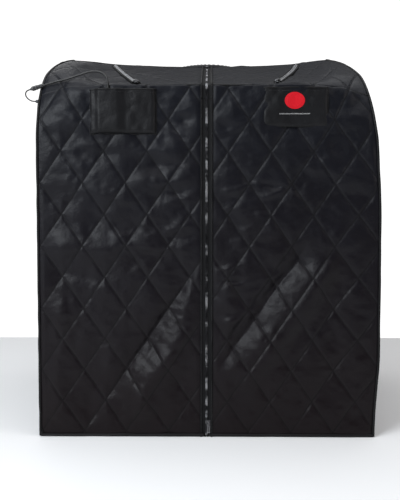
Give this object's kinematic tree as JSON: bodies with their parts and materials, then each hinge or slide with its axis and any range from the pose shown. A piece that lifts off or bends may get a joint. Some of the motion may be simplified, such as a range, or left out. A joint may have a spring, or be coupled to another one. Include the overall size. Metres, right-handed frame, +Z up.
{
  "type": "portable infrared sauna cabin",
  "caption": "Fold-flat sit-in infrared sauna cabin of black quilted fabric with a centre zip, arm zips, neck opening, two pockets and a wired handset.",
  "frame": {"origin": "on the floor, under the middle of the cabin's outer box", "axes": "+Z up, -Y out of the zipped front, +X to the right as seen from the front"},
  "size_m": [0.8318, 0.734, 0.9695],
  "materials": {
    "quilt_satin": "black quilted satin nylon",
    "liner_fabric": "plain black woven liner",
    "spring_wire": "spring steel",
    "heater_mat": "carbon fibre heating mat",
    "collar_knit": "padded black binding",
    "zip_tape": "black woven zip tape with silver teeth",
    "piping_black": "black binding cord",
    "pocket_nylon": "plain black nylon",
    "handset_plastic": "black textured plastic",
    "button_rubber": "grey silicone",
    "rocker_red": "gloss red",
    "cord_jacket": "black flexible jacket",
    "slider_metal": "dark nickel"
  },
  "bodies": {
    "rear": {"rear_skin": "quilt_satin", "rear_liner": "liner_fabric", "rear_wire": "spring_wire", "rear_heater": "heater_mat", "floor_sheet": "liner_fabric", "slope_left": "quilt_satin", "slope_right": "quilt_satin", "roof_rear": "quilt_satin", "neck_collar": "collar_knit", "slope_zip": "zip_tape", "arm_zips": "zip_tape", "roof_piping": "piping_black", "control_box": "handset_plastic", "inlet_housing": "handset_plastic", "mains_inlet": "handset_plastic"},
    "rocker": {"mains_rocker": "rocker_red"},
    "neck_gather": {"neck_zip_stop": "slider_metal"},
    "neck_slide_body": {"neck_slider": "slider_metal"},
    "neck_pull_body": {"neck_pull": "slider_metal"},
    "side_rear_left": {"side_rear_skin_left": "quilt_satin", "side_rear_liner_left": "liner_fabric", "side_rear_wire_left": "spring_wire", "side_heater_left": "heater_mat"},
    "side_front_left": {"side_front_skin_left": "quilt_satin", "side_front_liner_left": "liner_fabric", "side_front_wire_left": "spring_wire"},
    "front_left": {"front_panel_left": "quilt_satin", "front_piping_left": "piping_black", "pocket_left": "pocket_nylon", "handset_case": "handset_plastic", "handset_lead": "cord_jacket", "lead_strain_relief": "cord_jacket", "inline_plug": "cord_jacket", "inline_socket": "cord_jacket", "seam_lead": "cord_jacket", "lead_eyelet": "cord_jacket", "corner_tab_left": "piping_black"},
    "flap_left": {"front_flap_left": "quilt_satin", "zip_side_left": "zip_tape"},
    "arm_slide_left": {"arm_slider_left": "slider_metal"},
    "arm_pull_body_left": {"arm_pull_left": "slider_metal"},
    "side_rear_right": {"side_rear_skin_right": "quilt_satin", "side_rear_liner_right": "liner_fabric", "side_rear_wire_right": "spring_wire", "side_heater_right": "heater_mat"},
    "side_front_right": {"side_front_skin_right": "quilt_satin", "side_front_liner_right": "liner_fabric", "side_front_wire_right": "spring_wire"},
    "front_right": {"front_panel_right": "quilt_satin", "front_piping_right": "piping_black", "pocket_right": "pocket_nylon"},
    "flap_right": {"front_flap_right": "quilt_satin", "zip_side_right": "zip_tape"},
    "arm_slide_right": {"arm_slider_right": "slider_metal"},
    "arm_pull_body_right": {"arm_pull_right": "slider_metal"},
    "power_button": {"handset_button_power": "button_rubber"},
    "minus_button": {"handset_button_minus": "button_rubber"},
    "plus_button": {"handset_button_plus": "button_rubber"},
    "hem_slide_body": {"hem_slider": "slider_metal"},
    "hem_pull_body": {"hem_pull": "slider_metal"}
  },
  "joints": [
    {"name": "side_rear_left_fold", "type": "hinge", "parent": "rear", "child": "side_rear_left", "pos_m": [-0.39, 0.34, 0], "axis": [0, 0, 1], "range_deg": [0, 78], "deforming": ["slope_left", "slope_right", "roof_rear", "neck_collar", "slope_zip", "arm_zips", "roof_piping", "floor_sheet", "handset_lead", "seam_lead"]},
    {"name": "side_middle_left_fold", "type": "hinge", "parent": "side_rear_left", "child": "side_front_left", "pos_m": [-0.4, 0, 0], "axis": [0, 0, 1], "range_deg": [-156.5, 0]},
    {"name": "front_corner_left_fold", "type": "hinge", "parent": "side_front_left", "child": "front_left", "pos_m": [-0.39, -0.34, 0], "axis": [0, 0, 1], "range_deg": [0, 78.5]},
    {"name": "side_rear_right_fold", "type": "hinge", "parent": "rear", "child": "side_rear_right", "pos_m": [0.39, 0.34, 0], "axis": [0, 0, -1], "range_deg": [0, 78.5]},
    {"name": "side_middle_right_fold", "type": "hinge", "parent": "side_rear_right", "child": "side_front_right", "pos_m": [0.4, 0, 0], "axis": [0, 0, -1], "range_deg": [-156.5, 0]},
    {"name": "front_corner_right_fold", "type": "hinge", "parent": "side_front_right", "child": "front_right", "pos_m": [0.39, -0.34, 0], "axis": [0, 0, -1], "range_deg": [0, 78.5]},
    {"name": "front_flap_left_open", "type": "hinge", "parent": "front_left", "child": "flap_left", "pos_m": [0, -0.35, 0.83], "axis": [0.4271, 0, 0.9042], "range_deg": [-135, 0]},
    {"name": "front_flap_right_open", "type": "hinge", "parent": "front_right", "child": "flap_right", "pos_m": [0, -0.35, 0.83], "axis": [0.4271, 0, -0.9042], "range_deg": [-135, 0]},
    {"name": "hem_slider_run", "type": "slide", "parent": "flap_right", "child": "hem_slide_body", "axis": [0, 0, -1], "range_m": [-0.74, 0]},
    {"name": "hem_pull_swing", "type": "hinge", "parent": "hem_slide_body", "child": "hem_pull_body", "pos_m": [0.0049, -0.356, 0.0365], "axis": [-1, 0, 0], "range_deg": [0, 150]},
    {"name": "neck_zip_gather", "type": "slide", "parent": "rear", "child": "neck_gather", "axis": [0, 1, 0], "range_m": [0, 0.2195]},
    {"name": "neck_slider_run", "type": "slide", "parent": "neck_gather", "child": "neck_slide_body", "axis": [0, 0.9564, 0.2921], "range_m": [-0.38, 0]},
    {"name": "neck_pull_swing", "type": "hinge", "parent": "neck_slide_body", "child": "neck_pull_body", "pos_m": [0, 0.03026, 0.95251], "axis": [-1, 0, 0], "range_deg": [0, 150]},
    {"name": "arm_slider_left_run", "type": "slide", "parent": "front_left", "child": "arm_slide_left", "axis": [0.2597, -0.9182, -0.2992], "range_m": [-0.3, 0]},
    {"name": "arm_pull_left_swing", "type": "hinge", "parent": "arm_slide_left", "child": "arm_pull_body_left", "pos_m": [-0.16823, -0.32656, 0.84765], "axis": [-0.9623, -0.2721, 0], "range_deg": [0, 150]},
    {"name": "arm_slider_right_run", "type": "slide", "parent": "front_right", "child": "arm_slide_right", "axis": [-0.2597, -0.9182, -0.2992], "range_m": [-0.3, 0]},
    {"name": "arm_pull_right_swing", "type": "hinge", "parent": "arm_slide_right", "child": "arm_pull_body_right", "pos_m": [0.16823, -0.32656, 0.84765], "axis": [-0.9623, 0.2721, 0], "range_deg": [0, 150]},
    {"name": "power_button_press", "type": "slide", "parent": "front_left", "child": "power_button", "axis": [0, 1, 0], "range_m": [0, 0.0009], "stiffness_N_per_m": 400},
    {"name": "minus_button_press", "type": "slide", "parent": "front_left", "child": "minus_button", "axis": [0, 1, 0], "range_m": [0, 0.0009], "stiffness_N_per_m": 400},
    {"name": "plus_button_press", "type": "slide", "parent": "front_left", "child": "plus_button", "axis": [0, 1, 0], "range_m": [0, 0.0009], "stiffness_N_per_m": 400},
    {"name": "mains_rocker_tip", "type": "hinge", "parent": "rear", "child": "rocker", "pos_m": [0, 0.361, 0.14], "axis": [-1, 0, 0], "range_deg": [0, 16]}
  ],
  "couplings": [
    {"joint": "side_middle_left_fold", "follows": "side_rear_left_fold", "ratio": -2},
    {"joint": "front_corner_left_fold", "follows": "side_rear_left_fold", "ratio": 1},
    {"joint": "side_rear_right_fold", "follows": "side_rear_left_fold", "ratio": 1},
    {"joint": "side_middle_right_fold", "follows": "side_rear_left_fold", "ratio": -2},
    {"joint": "front_corner_right_fold", "follows": "side_rear_left_fold", "ratio": 1},
    {"joint": "neck_zip_gather", "follows": "side_rear_left_fold", "m_per_rad": 0.16087}
  ]
}
